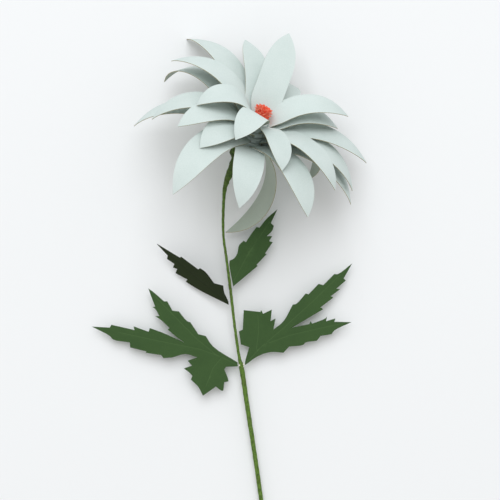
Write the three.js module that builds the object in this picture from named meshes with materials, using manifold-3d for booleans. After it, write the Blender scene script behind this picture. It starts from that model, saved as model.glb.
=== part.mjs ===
// A dahlia made of cut card on a taped wire stem, lying on its petal tips and the cut end of the stem.
// Millimetres, +X to the right, +Y along the stem towards the bloom, +Z up.
// Twenty-five curled petals in five rings, a rolled and fringed centre, four cut leaves,
// a wire, and the tape wound round it.

import * as THREE from "three";
import Module from "manifold-3d";

const wasm = await Module();
wasm.setup();
const { Manifold, CrossSection } = wasm;

const DEG = Math.PI / 180;

// Photograph: the drawing plane through the bloom's heart, seen from straight above
const MM_PER_PIXEL = 0.6;
const PIXEL_CENTRE = 250;
const VIEW_HEIGHT = 900;

// Bloom axis: leaning out of the picture plane, to the right of straight up
const AXIS_FROM_VIEW = 58 * DEG;
const AXIS_RIGHT_OF_UP = 27 * DEG;
const HEART_PIXEL = [258.5, 121.5];
const HEART_HEIGHT = 44.42;

// Offset that puts the middle of the whole part at the origin
const ORIGIN_SHIFT = [13.48, 47.13, 0];

const AXIS = new THREE.Vector3(
  Math.sin(AXIS_FROM_VIEW) * Math.sin(AXIS_RIGHT_OF_UP),
  Math.sin(AXIS_FROM_VIEW) * Math.cos(AXIS_RIGHT_OF_UP),
  Math.cos(AXIS_FROM_VIEW),
);
const ACROSS = new THREE.Vector3(Math.cos(AXIS_RIGHT_OF_UP), -Math.sin(AXIS_RIGHT_OF_UP), 0);
const BEHIND = new THREE.Vector3().crossVectors(AXIS, ACROSS);

/** The point over a pixel of the photograph at a height above the surface. */
function fromPhoto(px, py, height) {
  const perPixel = (MM_PER_PIXEL * (VIEW_HEIGHT - (height - HEART_HEIGHT))) / VIEW_HEIGHT;
  return new THREE.Vector3((px - PIXEL_CENTRE) * perPixel, (PIXEL_CENTRE - py) * perPixel, height);
}

const HEART = fromPhoto(...HEART_PIXEL, HEART_HEIGHT);

/** A point in the bloom: along the axis from the heart, and out from it at an angle. */
function inBloom(along, radius, angle) {
  return HEART.clone()
    .addScaledVector(AXIS, along)
    .addScaledVector(ACROSS, radius * Math.cos(angle))
    .addScaledVector(BEHIND, radius * Math.sin(angle));
}

// Petals
const CARD = 0.6;
const PETAL_WIDTH = 19.3;
const PETAL_ROWS = 19;
const PETAL_TIP = 0.8;
const BASE_SHARE = 0.5;
const WIDEST_FROM = 0.22;
const WIDEST_TO = 0.5;
const POINT_POWER = 2.5;
const ROOT = 0.9;

// Rings: how far each lies behind the heart, and where its petals start
const RING_DROP = [0, 3.4, 6.8, 10.2, 13.6];
const RING_RADIUS = [5.6, 5.5, 6.0, 6.5, 7.0];
const FLANGE_WIDER = 1.0;
const FLANGE_THICK = 1.2;
const PLUG_NARROWER = 0.4;
const GAP = 0.3;

// Each petal: its angle round the axis, the rise at its root, its whole curl and its length.
// Angles in degrees. "wide" is its width where that isn't the common one, "roll" turns it about
// its own length, "power" gathers the curl at the tip, "skew" leans its point to one side
// and "lift" moves its root along the axis.
const RINGS = [
  [
    { angle: 31, rise: 68, curl: 99, length: 58.5 },
    { angle: 100, rise: 65, curl: 48, length: 60, wide: 19 },
    { angle: 209.3, rise: 76, curl: 148, length: 48, lift: 0.3 },
    { angle: 261, rise: 72, curl: 142, length: 42, wide: 16.5, lift: 1.5 },
    { angle: 307.2, rise: 40, curl: 92, length: 42, wide: 16 },
  ],
  [
    { angle: 32, rise: 58.3, curl: 94, length: 53.5 },
    { angle: 118, rise: 57, curl: 66, length: 62, wide: 17, skew: 0.25 },
    { angle: 166.2, rise: 57.8, curl: 105, length: 70.3, lift: -0.5 },
    { angle: 218.5, rise: 44, curl: 106, length: 53.5 },
    { angle: 344.7, rise: 31.7, curl: 87, length: 62.5, wide: 18.3, power: 1.3 },
  ],
  [
    { angle: 21, rise: 39, curl: 76, length: 74.3 },
    { angle: 81, rise: 60.5, curl: 91, length: 56, lift: -0.8 },
    { angle: 62, rise: 47, curl: 60, length: 42 },
    { angle: 141, rise: 51, curl: 89, length: 86.8, lift: -0.8 },
    { angle: 195, rise: 43, curl: 120, length: 67.5, wide: 19 },
    { angle: 241, rise: 48, curl: 110, length: 47.3 },
  ],
  [
    { angle: 5, rise: 47, curl: 105, length: 73.5 },
    { angle: 239, rise: 27, curl: 106, length: 71.7, wide: 21, skew: 0.45 },
  ],
  [
    { angle: 277.5, rise: 56, curl: 138, length: 61, wide: 18.8, skew: 0.37, lift: -4.7 },
    { angle: 324, rise: 39, curl: 95, length: 64.8, wide: 21.5, lift: 0.3 },
    { angle: 30, rise: 59, curl: 168, length: 68, lift: -0.6 },
    { angle: 158, rise: 42.5, curl: 126, length: 78.5, wide: 19.5, power: 1.6 },
    { angle: 184, rise: 28.5, curl: 103, length: 75 },
    { angle: 20, rise: -36, curl: 112, length: 74.5, wide: 22, roll: -13, power: 1.1 },
    { angle: 5, rise: 38, curl: 96, length: 75.5 },
  ],
];

// Fringed centre: a rolled strip whose cut strands stand in rings and lean outwards
const ROLL_RADIUS = 4.6;
const ROLL_BOTTOM = 1.95;
const ROLL_TOP = 7.4;
const STRAND_RINGS = [
  { count: 4, radius: 1.1, lean: 10, length: 3.4 },
  { count: 9, radius: 2.6, lean: 18, length: 3.2 },
  { count: 14, radius: 4.0, lean: 26, length: 2.8 },
];
const STRAND_WIDE = 1.25;
const STRAND_THICK = 0.62;

// Stem: wire, and a tape sleeve whose width changes along it
const WIRE_RADIUS = 0.35;
const BORE_RADIUS = 0.45;
const HUB_HOLE_RADIUS = 0.65;
const STEM_SIDES = 10;
const STEM_STEPS = 60;
// Places along the stem, from below the bloom to the cut end: pixel, height and width in mm
const STEM_STATIONS = [
  { pixel: [232.8, 151.5], height: 28.4, wide: 3.7 },
  { pixel: [233.1, 158.2], height: 25.6, wide: 1.9 },
  { pixel: [231.9, 164], height: 23.4, wide: 3.2 },
  { pixel: [228.8, 175.5], height: 19.4, wide: 4.2 },
  { pixel: [226.6, 181.5], height: 17.4, wide: 3.4 },
  { pixel: [224.9, 188], height: 15.5, wide: 2.6 },
  { pixel: [223.6, 202], height: 12.4, wide: 1.8 },
  { pixel: [223.4, 235], height: 9.9, wide: 1.6 },
  { pixel: [226.8, 261], height: 9.2, wide: 1.6 },
  { pixel: [230.5, 290], height: 8.4, wide: 1.8 },
  { pixel: [235.2, 330], height: 7.4, wide: 1.7 },
  { pixel: [239, 356], height: 6.8, wide: 1.8 },
  { pixel: [241.6, 368], height: 6.5, wide: 3.1 },
  { pixel: [248, 411], height: 5.5, wide: 2.9 },
  { pixel: [257.4, 473], height: 4.0, wide: 2.7 },
  { pixel: [266, 540], height: 2.6, wide: 2.6 },
  { pixel: [272, 612], height: 1.3, wide: 2.6 },
];
const SLEEVE_TOP_ALONG = -21.4;
const SLEEVE_TOP_WIDE = 2.8;
const WIRE_TOP_ALONG = 5;

/** Closes the two faces of a row-by-row strip into one solid. Each row holds its points left to right. */
function slab(upper, lower) {
  const rows = upper.length;
  const cols = upper[0].length;
  const points = [...upper.flat(), ...lower.flat()];
  const top = (row, col) => row * cols + col;
  const bottom = (row, col) => rows * cols + row * cols + col;
  const triangles = [];
  const quad = (a, b, c, d) => triangles.push(a, b, c, a, c, d);
  for (let row = 0; row + 1 < rows; row++) {
    for (let col = 0; col + 1 < cols; col++) {
      quad(top(row, col), top(row + 1, col), top(row + 1, col + 1), top(row, col + 1));
      quad(bottom(row, col), bottom(row, col + 1), bottom(row + 1, col + 1), bottom(row + 1, col));
    }
    quad(top(row, 0), bottom(row, 0), bottom(row + 1, 0), top(row + 1, 0));
    const last = cols - 1;
    quad(top(row, last), top(row + 1, last), bottom(row + 1, last), bottom(row, last));
  }
  for (let col = 0; col + 1 < cols; col++) {
    quad(top(0, col), top(0, col + 1), bottom(0, col + 1), bottom(0, col));
    const end = rows - 1;
    quad(top(end, col), bottom(end, col), bottom(end, col + 1), top(end, col + 1));
  }
  return solid(points, triangles);
}

/** A manifold solid from points and triangles, turned the right way out. */
function solid(points, triangles) {
  const vertProperties = new Float32Array(points.flatMap((p) => [p.x, p.y, p.z]));
  const build = (triVerts) => new Manifold(new wasm.Mesh({ numProp: 3, vertProperties, triVerts }));
  const body = build(Uint32Array.from(triangles));
  if (body.volume() > 0) return body;
  const flipped = [];
  for (let k = 0; k < triangles.length; k += 3) {
    flipped.push(triangles[k], triangles[k + 2], triangles[k + 1]);
  }
  return build(Uint32Array.from(flipped));
}

/** Joins bodies into one solid, and fills any pocket that they close in between them. */
function fuse(bodies) {
  const pieces = Manifold.union(bodies).decompose();
  return Manifold.compose(pieces.filter((piece) => piece.volume() > 0));
}

/** A petal's width at a share of its length: narrow at the root, full to the middle, then a point. */
function petalWidth(share, wide) {
  const opening = Math.sin((Math.PI / 2) * Math.min(share / WIDEST_FROM, 1));
  const rise = BASE_SHARE + (1 - BASE_SHARE) * opening;
  const past = Math.max(0, (share - WIDEST_TO) / (1 - WIDEST_TO));
  return Math.max(PETAL_TIP, wide * rise * (1 - past ** POINT_POWER));
}

/** One curled petal, its root sunk into the ring it grows from. */
function petal(shape, ring) {
  const { angle, rise, curl, length, wide = PETAL_WIDTH } = shape;
  const { roll = 0, power = 1, skew = 0, lift = 0 } = shape;
  const out = ACROSS.clone().multiplyScalar(Math.cos(angle * DEG));
  out.addScaledVector(BEHIND, Math.sin(angle * DEG));
  const side = ACROSS.clone().multiplyScalar(-Math.sin(angle * DEG));
  side.addScaledVector(BEHIND, Math.cos(angle * DEG));
  const along = out.clone().multiplyScalar(Math.cos(rise * DEG));
  along.addScaledVector(AXIS, Math.sin(rise * DEG));
  const face = AXIS.clone().multiplyScalar(Math.cos(rise * DEG));
  face.addScaledVector(out, -Math.sin(rise * DEG));
  const rolledSide = side.clone().multiplyScalar(Math.cos(roll * DEG));
  rolledSide.addScaledVector(face, Math.sin(roll * DEG));
  const rolledFace = face.clone().multiplyScalar(Math.cos(roll * DEG));
  rolledFace.addScaledVector(side, -Math.sin(roll * DEG));

  const middle = inBloom(lift - RING_DROP[ring], RING_RADIUS[ring], angle * DEG);
  middle.addScaledVector(along, -ROOT);
  const upper = [];
  const lower = [];
  const step = (length + ROOT) / (PETAL_ROWS - 1);
  for (let row = 0; row < PETAL_ROWS; row++) {
    const share = Math.max(0, (row * step - ROOT) / length);
    const turn = (s) => curl * DEG * Math.max(0, (s * step - ROOT) / length) ** power;
    if (row > 0) {
      const bend = (turn(row) + turn(row - 1)) / 2;
      middle.addScaledVector(along, step * Math.cos(bend));
      middle.addScaledVector(rolledFace, -step * Math.sin(bend));
    }
    const normal = rolledFace.clone().multiplyScalar(Math.cos(turn(row)));
    normal.addScaledVector(along, Math.sin(turn(row)));
    const half = petalWidth(share, wide) / 2;
    const centre = skew * wide * share * share;
    const edges = [centre - half, centre + half].map((w) => middle.clone().addScaledVector(rolledSide, w));
    upper.push(edges.map((p) => p.clone().addScaledVector(normal, CARD / 2)));
    lower.push(edges.map((p) => p.clone().addScaledVector(normal, -CARD / 2)));
  }
  return slab(upper, lower);
}

/** A round plug on the bloom's axis, between two places along it. */
function plug(from, to, radius, sides = 24) {
  const points = [];
  for (const along of [from, to]) {
    for (let k = 0; k < sides; k++) points.push(inBloom(along, radius, (2 * Math.PI * k) / sides));
  }
  points.push(inBloom(from, 0, 0), inBloom(to, 0, 0));
  const triangles = [];
  for (let k = 0; k < sides; k++) {
    const next = (k + 1) % sides;
    triangles.push(k, next, sides + next, k, sides + next, sides + k);
    triangles.push(2 * sides, next, k, 2 * sides + 1, sides + k, sides + next);
  }
  return solid(points, triangles);
}

/**
 * A ring of petals on its glued hub, with the hole for the wire. A petal whose root lies well
 * below its ring has a flange of its own, on a longer hub.
 */
function petalRing(shapes, ring) {
  const level = -RING_DROP[ring];
  const spacing = RING_DROP[1] - RING_DROP[0];
  const reach = (spacing - GAP) / 2;
  const lowest = Math.min(...shapes.map(({ lift = 0 }) => lift));
  const levels = lowest < -reach ? [level, level + lowest] : [level];
  const hub = plug(Math.min(...levels) - reach, level + reach, RING_RADIUS[ring] - PLUG_NARROWER);
  const wide = RING_RADIUS[ring] + FLANGE_WIDER;
  const flanges = levels.map((at) => plug(at - FLANGE_THICK / 2, at + FLANGE_THICK / 2, wide));
  const petals = shapes.map((shape) => petal(shape, ring));
  const hole = plug(Math.min(...levels) - spacing, level + spacing, HUB_HOLE_RADIUS, STEM_SIDES);
  return fuse([hub, ...flanges, ...petals]).subtract(hole);
}

/** One strand of the fringe: a short strip that leans away from the axis. */
function strand(radius, angle, lean, length) {
  const out = ACROSS.clone().multiplyScalar(Math.cos(angle)).addScaledVector(BEHIND, Math.sin(angle));
  const side = ACROSS.clone().multiplyScalar(-Math.sin(angle)).addScaledVector(BEHIND, Math.cos(angle));
  const upper = [];
  const lower = [];
  const middle = inBloom(ROLL_TOP - 1, radius, angle);
  const pieces = 3;
  for (let row = 0; row <= pieces; row++) {
    const tilt = (lean * DEG * row) / pieces;
    const normal = out.clone().multiplyScalar(Math.cos(tilt)).addScaledVector(AXIS, -Math.sin(tilt));
    const half = (STRAND_WIDE / 2) * (row === pieces ? 0.75 : 1);
    const edges = [-half, half].map((w) => middle.clone().addScaledVector(side, w));
    upper.push(edges.map((p) => p.clone().addScaledVector(normal, STRAND_THICK / 2)));
    lower.push(edges.map((p) => p.clone().addScaledVector(normal, -STRAND_THICK / 2)));
    const step = (length + 1) / pieces;
    middle.addScaledVector(AXIS, step * Math.cos(tilt)).addScaledVector(out, step * Math.sin(tilt));
  }
  return slab(upper, lower);
}

/** The rolled strip with its strands, hollowed for the end of the wire. */
function fringedCentre() {
  const bodies = [plug(ROLL_BOTTOM, ROLL_TOP, ROLL_RADIUS)];
  STRAND_RINGS.forEach(({ count, radius, lean, length }, ring) => {
    for (let k = 0; k < count; k++) {
      const angle = (2 * Math.PI * (k + 0.37 * ring)) / count;
      const uneven = 0.5 * Math.sin(5.1 * k + 2.3 * ring);
      bodies.push(strand(radius, angle, lean + 8 * uneven, length + uneven));
    }
  });
  const hole = plug(ROLL_BOTTOM - 1, WIRE_TOP_ALONG + GAP, HUB_HOLE_RADIUS, STEM_SIDES);
  return fuse(bodies).subtract(hole);
}

/** The stem's line from the heart to the cut end, with the tape's width at each place. */
function stemLine() {
  const start = inBloom(SLEEVE_TOP_ALONG, 0, 0);
  const places = STEM_STATIONS.map(({ pixel, height }) => fromPhoto(...pixel, height));
  const curve = new THREE.CatmullRomCurve3([start, ...places], false, "centripetal");
  const widths = [SLEEVE_TOP_WIDE, ...STEM_STATIONS.map(({ wide }) => wide)];
  const stations = [];
  for (let k = 0; k <= STEM_STEPS; k++) {
    const share = (k / STEM_STEPS) ** 1.25;
    const where = share * (widths.length - 1);
    const low = Math.min(Math.floor(where), widths.length - 2);
    const blend = 0.5 - 0.5 * Math.cos(Math.PI * (where - low));
    stations.push({
      point: curve.getPoint(share),
      tangent: curve.getTangent(share),
      wide: widths[low] * (1 - blend) + widths[low + 1] * blend,
    });
  }
  return stations;
}

/** Rings of points round a line of stations. The same frame is carried along, so rings don't twist. */
function ringsAlong(stations, radiusAt) {
  const sideways = new THREE.Vector3(1, 0, 0);
  return stations.map((station, index) => {
    sideways.addScaledVector(station.tangent, -sideways.dot(station.tangent)).normalize();
    const upwards = new THREE.Vector3().crossVectors(station.tangent, sideways);
    const radius = radiusAt(station, index);
    return Array.from({ length: STEM_SIDES }, (_, k) => {
      const angle = (2 * Math.PI * k) / STEM_SIDES;
      return station.point
        .clone()
        .addScaledVector(sideways, radius * Math.cos(angle))
        .addScaledVector(upwards, radius * Math.sin(angle));
    });
  });
}

/** A solid rod through rings of points. */
function rod(rings) {
  const sides = rings[0].length;
  const points = rings.flat();
  const triangles = [];
  for (let row = 0; row + 1 < rings.length; row++) {
    for (let k = 0; k < sides; k++) {
      const next = (k + 1) % sides;
      const [a, b] = [row * sides + k, row * sides + next];
      triangles.push(a, b, b + sides, a, b + sides, a + sides);
    }
  }
  const last = (rings.length - 1) * sides;
  for (let k = 1; k + 1 < sides; k++) triangles.push(0, k + 1, k, last, last + k, last + k + 1);
  return solid(points, triangles);
}

/** The wire from the cut end, through the rings' hubs and into the rolled centre. */
function stemWire(stations) {
  const top = [WIRE_TOP_ALONG, 0, SLEEVE_TOP_ALONG / 2, SLEEVE_TOP_ALONG + 1.5].map((along) => ({
    point: inBloom(along, 0, 0),
    tangent: AXIS.clone().negate(),
  }));
  return rod(ringsAlong([...top, ...stations], () => WIRE_RADIUS));
}

/** The tape wound round the wire, open at both ends. */
function stemTape(stations) {
  const sleeve = rod(ringsAlong(stations, ({ wide }) => wide / 2));
  const first = stations[0];
  const last = stations[stations.length - 1];
  const before = { point: first.point.clone().addScaledVector(first.tangent, -1), tangent: first.tangent };
  const after = { point: last.point.clone().addScaledVector(last.tangent, 1), tangent: last.tangent };
  return sleeve.subtract(rod(ringsAlong([before, ...stations, after], () => BORE_RADIUS)));
}

// Leaves: cut outlines as pixels of the photograph, and how far the card stands off the surface
const LEAF_CELL = 9;
const LEAVES = {
  leaf_upper_right: {
    outline: [
      [277.5, 209.2], [270.9, 223.1], [273.8, 225.9], [272.3, 230.5], [266.8, 236.1], [272.3, 236.1],
      [269, 241.1], [272.7, 242.2], [265, 253.6], [266.8, 254], [256.6, 264.7], [257.6, 266],
      [243.7, 277.7], [233.2, 286.4], [229.3, 265], [229.6, 260.6], [233.5, 258.8], [237.2, 253.6],
      [239.1, 245.3], [243.7, 240.7], [245.9, 242.2], [251.1, 234.2], [256.6, 226.8], [259.4, 227.7],
      [266.8, 218.5],
    ],
    root: [230.5, 272],
    height: 9,
    rise: 0.05,
    sag: 0.0016,
  },
  leaf_upper_left: {
    outline: [
      [157.1, 244], [167.8, 255.5], [166.9, 258.8], [174.3, 263.8], [172.8, 267.5], [177.1, 268.8],
      [175.2, 273.1], [187.3, 279.5], [185.4, 281.7], [198.4, 289.7], [228.6, 304.6], [228.2, 301.6],
      [224.3, 292.5], [223.3, 285.4], [214.1, 283.2], [205.8, 272.1], [200.2, 268.1], [198.4, 269.4],
      [181.4, 256.8], [179.9, 257.7], [166.9, 249.9],
    ],
    root: [228, 303],
    tip: [157.1, 244],
    height: 9,
    rise: 0.06,
    sag: 0.0009,
    turn: 44,
  },
  leaf_lower_left: {
    outline: [
      [91.5, 326.7], [109.6, 327.6], [111.4, 324.8], [134.6, 330], [133.6, 326.3], [148.8, 331.7],
      [149.9, 328], [163.2, 332.8], [174.3, 337.8], [184.5, 342.4], [178, 337.8], [167.8, 329.5],
      [169.7, 328], [161.4, 320.2], [155.3, 316], [159.5, 316.1], [155.5, 309.1], [152.5, 306.9],
      [155.3, 306.7], [151.2, 296.2], [148.4, 288.4], [154, 292.5], [164.2, 301.4], [167.3, 301.2],
      [172.5, 310.6], [178.9, 311.3], [187.3, 321.1], [190.4, 322.1], [198.4, 334.1], [205.8, 335.9],
      [213.2, 346.5], [237.6, 362.4], [237.8, 366.4], [226.1, 366.8], [224.3, 369.2], [228, 378.5],
      [228.5, 381.2], [224.3, 382.2], [223.3, 390.5], [221.5, 390.5], [215.9, 386.4], [203, 395.5],
      [198.4, 386.8], [191, 379.4], [192.4, 375.7], [190, 372.9], [183.9, 368.3], [191.9, 365.5],
      [187.8, 360.5], [197.4, 357.2], [185.4, 353.9], [172.5, 357.2], [163.6, 358.1], [161.4, 355],
      [145.7, 352.6], [146.6, 351.3], [130.3, 347.4], [129.9, 342.4], [113.3, 339.6], [109.6, 335.9],
    ],
    root: [238, 365],
    height: 6.5,
    rise: 0.07,
    sag: 0.0009,
  },
  leaf_lower_right: {
    outline: [
      [244.9, 363.4], [249.2, 347], [240.9, 344.3], [238.9, 331.4], [242.8, 329.5], [243.7, 310],
      [260.3, 311.9], [261.2, 310], [263.1, 313.7], [271.8, 309.5], [270.5, 321.1], [275.5, 318.4],
      [273.3, 329.5], [283.4, 321.1], [292.7, 304.5], [296.4, 303.6], [305.6, 293.4], [308.4, 294.3],
      [318.6, 283.8], [323.2, 285.1], [334.3, 274], [338, 274], [352.4, 263.3], [343.6, 278.6],
      [345.8, 280.5], [336.2, 288.8], [340.2, 289.1], [330.6, 296.2], [333.4, 297.5], [320.4, 307.3],
      [323.2, 309.1], [307.5, 318.4], [291.8, 327.6], [309.3, 323.9], [310.3, 321.1], [312.1, 323.5],
      [325.1, 318.4], [326.9, 316.5], [326, 321.1], [335.2, 318.4], [334.3, 321.7], [351.5, 322.1],
      [334.3, 330.4], [331.5, 334.1], [320.4, 335.9], [316.7, 340.6], [305.6, 342.4], [302.9, 344.8],
      [289, 346.5], [283.4, 352.6], [270.5, 352], [257.6, 356.3], [245.4, 365],
    ],
    root: [244, 365],
    height: 6.5,
    rise: 0.07,
    sag: 0.0009,
  },
};

/**
 * How high a leaf's card stands at a place: it rises from the stem and sags towards its tips.
 * A turned leaf also leans to one side of the line from its root to its tip.
 */
function leafHeight(leaf, x, y) {
  const { height, rise, sag, turn = 0 } = leaf;
  const root = fromPhoto(...leaf.root, height);
  const away = Math.hypot(x - root.x, y - root.y);
  const level = height + rise * away - sag * away * away;
  if (turn === 0) return level;
  const tip = fromPhoto(...leaf.tip, height);
  const line = Math.hypot(tip.x - root.x, tip.y - root.y);
  const beside = ((tip.y - root.y) * (x - root.x) - (tip.x - root.x) * (y - root.y)) / line;
  return level + Math.tan(turn * DEG) * beside;
}

/** A cut leaf: a bent sheet of card inside the outline. */
function leafBlade(leaf) {
  const points = leaf.outline.map(([px, py]) => fromPhoto(px, py, leaf.height));
  const xs = points.map((p) => p.x);
  const ys = points.map((p) => p.y);
  const [left, right] = [Math.min(...xs) - 2, Math.max(...xs) + 2];
  const [front, back] = [Math.min(...ys) - 2, Math.max(...ys) + 2];
  const cols = Math.ceil((right - left) / LEAF_CELL);
  const rows = Math.ceil((back - front) / LEAF_CELL);
  const sheet = (offset) =>
    Array.from({ length: rows + 1 }, (_, row) =>
      Array.from({ length: cols + 1 }, (_, col) => {
        const x = left + ((right - left) * col) / cols;
        const y = front + ((back - front) * row) / rows;
        return new THREE.Vector3(x, y, leafHeight(leaf, x, y) + offset);
      }),
    );
  const offset = CARD / 2 / Math.cos((leaf.turn ?? 0) * DEG);
  const bent = slab(sheet(offset), sheet(-offset));
  const cutter = new CrossSection([points.map((p) => [p.x, p.y])], "NonZero").extrude(60);
  return bent.intersect(cutter.translate([0, 0, -20]));
}

/** A named mesh in the part's frame. */
function piece(name, body, finish) {
  const mesh = body.getMesh();
  const positions = new Float32Array(mesh.numVert * 3);
  for (let k = 0; k < mesh.numVert; k++) {
    for (let axis = 0; axis < 3; axis++) {
      positions[3 * k + axis] = mesh.vertProperties[mesh.numProp * k + axis] + ORIGIN_SHIFT[axis];
    }
  }
  const geometry = new THREE.BufferGeometry();
  geometry.setAttribute("position", new THREE.BufferAttribute(positions, 3));
  geometry.setIndex(Array.from(mesh.triVerts));
  geometry.computeVertexNormals();
  const result = new THREE.Mesh(geometry, finish);
  result.name = name;
  return result;
}

const matte = (color) => new THREE.MeshStandardMaterial({ color, roughness: 0.85 });
const petalCard = matte("#dfe9e8");
const fringeCard = matte("#d9503d");
const leafCard = matte("#3d5732");
const tape = matte("#4d6b23");
const wire = new THREE.MeshStandardMaterial({ color: "#8d8f8c", roughness: 0.4, metalness: 1 });

const group = new THREE.Group();
RINGS.forEach((shapes, ring) => {
  group.add(piece(`petal_ring_${ring + 1}`, petalRing(shapes, ring), petalCard));
});
group.add(piece("fringed_centre", fringedCentre(), fringeCard));
const stations = stemLine();
group.add(piece("stem_wire", stemWire(stations), wire));
group.add(piece("stem_tape", stemTape(stations), tape));
for (const [name, leaf] of Object.entries(LEAVES)) {
  group.add(piece(name, leafBlade(leaf), leafCard));
}

export default group;
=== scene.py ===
"""A dahlia of cut card on a taped wire stem, laid on a pale surface under soft studio light.

The fine pieces here stand for the plain solids of the frame: curled card petals, a rolled and fringed
centre, wound tape and cut leaves. Lengths are in millimetres until a mesh is made. The frame is the
part's own: +X to the right, +Y along the stem towards the bloom, +Z up from the surface.
"""

from __future__ import annotations

import logging
import math
import random
from dataclasses import dataclass, field
from enum import Enum
from functools import cached_property

import bpy
import numpy as np
from mathutils import Matrix, Vector, noise
from mathutils.geometry import delaunay_2d_cdt


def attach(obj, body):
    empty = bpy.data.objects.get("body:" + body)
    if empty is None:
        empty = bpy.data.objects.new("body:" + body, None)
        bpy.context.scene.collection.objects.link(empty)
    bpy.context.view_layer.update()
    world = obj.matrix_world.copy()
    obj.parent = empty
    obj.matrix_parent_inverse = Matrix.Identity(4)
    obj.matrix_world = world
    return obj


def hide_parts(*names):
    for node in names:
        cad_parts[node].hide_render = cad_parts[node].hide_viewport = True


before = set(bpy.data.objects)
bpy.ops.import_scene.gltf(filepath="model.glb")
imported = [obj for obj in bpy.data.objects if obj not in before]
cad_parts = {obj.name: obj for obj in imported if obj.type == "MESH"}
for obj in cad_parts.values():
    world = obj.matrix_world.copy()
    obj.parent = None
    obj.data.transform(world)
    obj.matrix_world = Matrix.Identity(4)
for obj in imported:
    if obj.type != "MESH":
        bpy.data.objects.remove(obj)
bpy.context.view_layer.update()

MM = 0.001
LOG = logging.getLogger("paper_dahlia")

Colour = tuple[float, float, float]
Pixel = tuple[float, float]
Range = tuple[float, float]
Material = bpy.types.Material
Node = bpy.types.Node
Piece = bpy.types.Object
Socket = bpy.types.NodeSocket


def srgb(red: float, green: float, blue: float) -> Colour:
    """Turns a colour of 0 to 255 into the linear values that a material takes.

    Args:
        red: Red, 0 to 255.
        green: Green, 0 to 255.
        blue: Blue, 0 to 255.

    Returns:
        The linear colour.
    """

    def linear(value: float) -> float:
        """Undoes the screen's curve for one channel."""
        share = value / 255
        return share / 12.92 if share <= 0.04045 else ((share + 0.055) / 1.055) ** 2.4

    return linear(red), linear(green), linear(blue)


def dimmed(colour: Colour, share: float) -> Colour:
    """The same colour with only a share of its light."""
    return tuple(share * value for value in colour)


# Materials


class Face(Enum):
    """Which side of a piece of card a face of its mesh is."""

    SHOW = 0
    CUT = 1
    BACK = 2


class NodeTree:
    """A short way to add nodes and links to a node tree."""

    COLUMN_WIDTH = 200

    def __init__(self, tree: bpy.types.ShaderNodeTree) -> None:
        """Keeps the tree and starts the row of nodes at its left end."""
        self.tree = tree
        self.column = 0

    @property
    def shader(self) -> Node:
        """The Principled shader of a material's tree."""
        return self.tree.nodes["Principled BSDF"]

    def add(self, kind: str, **settings: object) -> Node:
        """Adds a node.

        Args:
            kind: The node's type name.
            settings: Properties to set on it.

        Returns:
            The node.
        """
        node = self.tree.nodes.new(kind)
        node.location = (self.COLUMN_WIDTH * self.column, 0)
        self.column += 1
        for name, value in settings.items():
            setattr(node, name, value)
        return node

    def link(self, source: Socket, target: Socket) -> None:
        """Links one socket to another."""
        self.tree.links.new(source, target)

    def colour(self, source: Socket) -> None:
        """Gives the Principled shader its colour."""
        self.link(source, self.shader.inputs["Base Color"])

    def object_place(self) -> Socket:
        """Adds the place on the object, in metres."""
        return self.add("ShaderNodeTexCoord").outputs["Object"]

    def noise(self, vector: Socket, scale: float, detail: float) -> Node:
        """Adds a noise texture that reads a vector.

        Args:
            vector: The socket with the place to read at.
            scale: Waves per metre.
            detail: How many finer layers it has.

        Returns:
            The texture's node.
        """
        node = self.add("ShaderNodeTexNoise")
        node.inputs["Scale"].default_value = scale
        node.inputs["Detail"].default_value = detail
        self.link(vector, node.inputs["Vector"])
        return node

    def map_range(self, value: Socket, source: Range, target: Range) -> Socket:
        """Maps a value from one range to another, clamped.

        Args:
            value: The socket with the value.
            source: The range that it comes in.
            target: The range that it goes out in.

        Returns:
            The socket with the mapped value.
        """
        node = self.add("ShaderNodeMapRange")
        node.inputs["From Min"].default_value = source[0]
        node.inputs["From Max"].default_value = source[1]
        node.inputs["To Min"].default_value = target[0]
        node.inputs["To Max"].default_value = target[1]
        self.link(value, node.inputs["Value"])
        return node.outputs["Result"]

    def math(self, operation: str, first: Socket, second: Socket | float) -> Socket:
        """Adds a math node on two values.

        Args:
            operation: The operation's name.
            first: The first value's socket.
            second: The second value's socket, or a number.

        Returns:
            The socket with the result.
        """
        node = self.add("ShaderNodeMath", operation=operation)
        self.link(first, node.inputs[0])
        if isinstance(second, (int, float)):
            node.inputs[1].default_value = second
        else:
            self.link(second, node.inputs[1])
        return node.outputs[0]

    def mix(self, share: Socket, first: Colour | Socket, second: Colour | Socket) -> Socket:
        """Mixes two colours.

        Args:
            share: The socket with the second colour's share.
            first: The first colour, or its socket.
            second: The second colour, or its socket.

        Returns:
            The socket with the mixed colour.
        """
        node = self.add("ShaderNodeMix", data_type="RGBA")
        self.link(share, node.inputs[0])
        for socket, colour in ((node.inputs[6], first), (node.inputs[7], second)):
            if isinstance(colour, tuple):
                socket.default_value = (*colour, 1)
            else:
                self.link(colour, socket)
        return node.outputs[2]

    def bump(self, height: Socket, strength: float, depth: float) -> None:
        """Gives the Principled shader a relief.

        Args:
            height: The socket with the height.
            strength: How much of the relief shows, from 0 to 1.
            depth: The depth of a height of 1, in millimetres.
        """
        node = self.add("ShaderNodeBump")
        node.inputs["Strength"].default_value = strength
        node.inputs["Distance"].default_value = depth * MM
        self.link(height, node.inputs["Height"])
        self.link(node.outputs["Normal"], self.shader.inputs["Normal"])


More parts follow.
